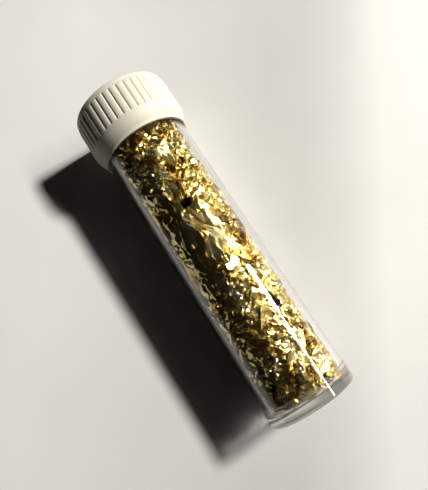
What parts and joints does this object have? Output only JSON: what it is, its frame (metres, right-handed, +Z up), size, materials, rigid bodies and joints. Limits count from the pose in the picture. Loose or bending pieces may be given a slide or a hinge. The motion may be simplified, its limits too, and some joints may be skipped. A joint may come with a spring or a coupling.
{
  "type": "gold leaf sample vial",
  "caption": "Clear plastic tube with a ribbed white screw cap and a foam liner, filled with crumpled sheets and flakes of gold-coloured leaf, lying on its side.",
  "frame": {"origin": "middle of the length and width, at the level of the lowest line of the cap, on which the lying vial rests", "axes": "+X along the vial from its base to its cap, +Z up"},
  "size_m": [0.0604, 0.0178, 0.0177],
  "materials": {
    "clear_plastic": "polished",
    "white_plastic": "satin",
    "foam": "matte",
    "gold_leaf": "polished"
  },
  "bodies": {
    "vial": {"vial_body": "clear_plastic", "base_flake_1": "gold_leaf", "base_flake_2": "gold_leaf", "base_flake_3": "gold_leaf", "base_flake_4": "gold_leaf", "lower_wad_1": "gold_leaf", "lower_wad_2": "gold_leaf", "lower_wad_3": "gold_leaf", "lower_wad_4": "gold_leaf", "middle_sheet_1": "gold_leaf", "middle_sheet_2": "gold_leaf", "middle_sheet_3": "gold_leaf", "middle_sheet_4": "gold_leaf", "upper_wad_1": "gold_leaf", "upper_wad_2": "gold_leaf", "upper_wad_3": "gold_leaf", "upper_wad_4": "gold_leaf", "top_wad_1": "gold_leaf", "top_wad_2": "gold_leaf", "top_wad_3": "gold_leaf", "top_wad_4": "gold_leaf", "core_roll_1": "gold_leaf", "core_roll_2": "gold_leaf", "core_roll_3": "gold_leaf", "core_roll_4": "gold_leaf", "core_roll_5": "gold_leaf"},
    "liner": {"cap_liner": "foam"},
    "cap": {"screw_cap": "white_plastic"}
  },
  "joints": [
    {"name": "cap_rise", "type": "slide", "parent": "vial", "child": "liner", "axis": [1, 0, 0], "range_m": [0, 0.0075]},
    {"name": "cap_turn", "type": "hinge", "parent": "liner", "child": "cap", "pos_m": [0, 0, 0.00887], "axis": [1, 0, 0], "range_deg": [0, 1080]}
  ],
  "couplings": [
    {"joint": "cap_turn", "follows": "cap_rise", "rad_per_m": 2513.3}
  ]
}
